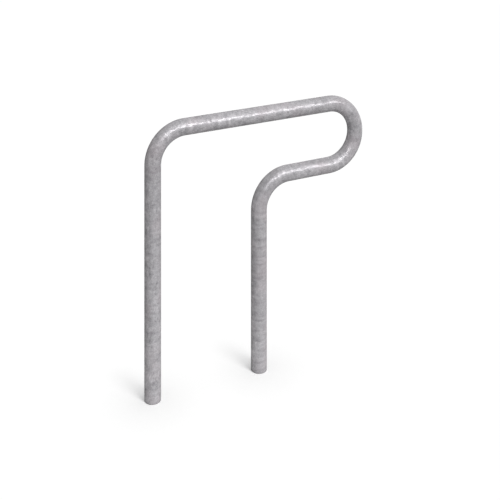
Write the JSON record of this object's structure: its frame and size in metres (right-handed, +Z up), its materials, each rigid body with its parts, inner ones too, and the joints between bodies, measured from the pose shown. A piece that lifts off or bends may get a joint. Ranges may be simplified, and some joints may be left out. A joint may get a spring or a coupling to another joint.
{
  "type": "hoop bike rack",
  "caption": "Hoop bike rack bent from one round galvanised tube: a tall leg, a top bar that returns in a half-circle loop, and a short leg, with roots to cast into the ground.",
  "frame": {"origin": "on the ground line, midway between the axes of the two legs", "axes": "+X along the hoop from the tall leg towards the loop, +Y square to the hoop's plane towards its back, +Z up"},
  "size_m": [0.75, 0.15, 1.025],
  "materials": {
    "galvanised_tube": "hot-dip galvanised, satin with a mottled zinc pattern",
    "galvanised_bar": "hot-dip galvanised",
    "galvanised_weld": "weld bead under the same galvanised coat"
  },
  "bodies": {
    "root": {"bent_tube": "galvanised_tube", "left_anchor_bar": "galvanised_bar", "right_anchor_bar": "galvanised_bar", "left_front_weld": "galvanised_weld", "left_back_weld": "galvanised_weld", "right_front_weld": "galvanised_weld", "right_back_weld": "galvanised_weld"}
  },
  "joints": []
}
